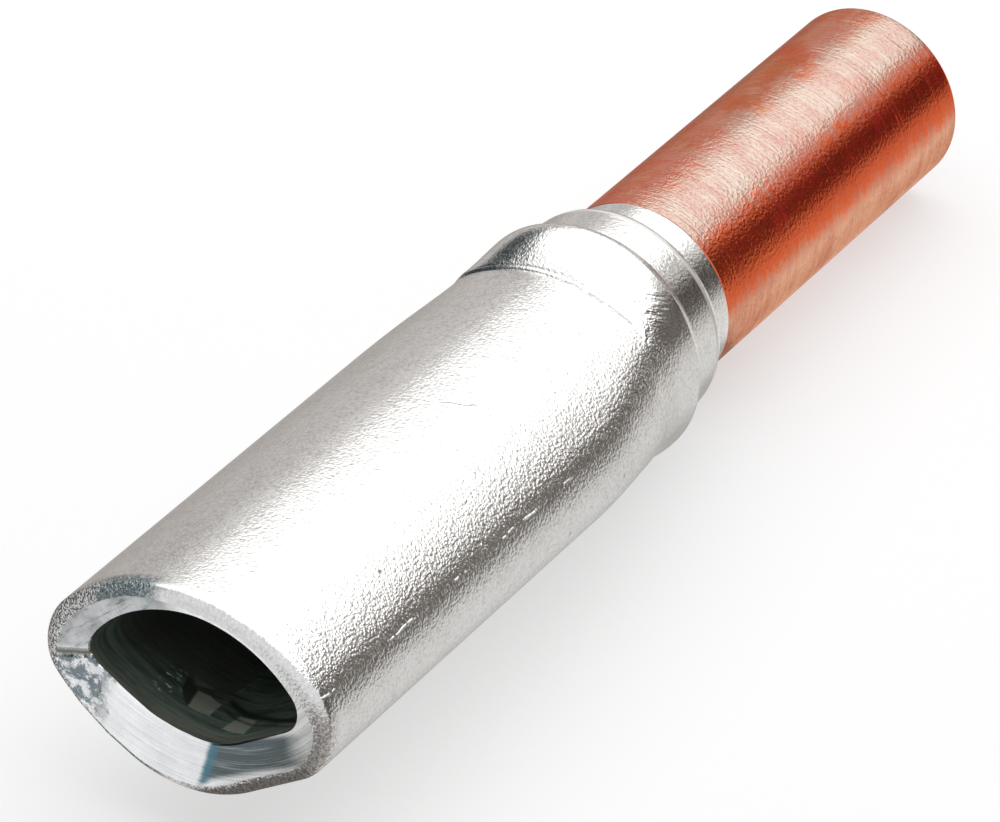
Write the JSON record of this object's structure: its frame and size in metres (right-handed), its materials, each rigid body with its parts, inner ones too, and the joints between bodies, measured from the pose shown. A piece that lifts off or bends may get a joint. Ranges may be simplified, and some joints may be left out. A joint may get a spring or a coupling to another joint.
{
  "type": "bimetal sector link",
  "caption": "In-line bimetal link: an aluminium barrel pressed to a 120 degree sector with a blind sector socket, friction welded to a round copper barrel with a blind bore.",
  "frame": {"origin": "centre of the weld plane between the aluminium and the copper barrel", "axes": "+X along the barrels' common axis, towards the copper mouth; -X towards the sector mouth; +Z towards the middle of the sector's arc"},
  "size_m": [0.1206, 0.0294, 0.0248],
  "materials": {
    "aluminium": "satin",
    "copper": "satin",
    "compound": "gloss"
  },
  "bodies": {
    "root": {"aluminium_sector_barrel": "aluminium", "copper_barrel": "copper", "jointing_compound": "compound"}
  },
  "joints": []
}
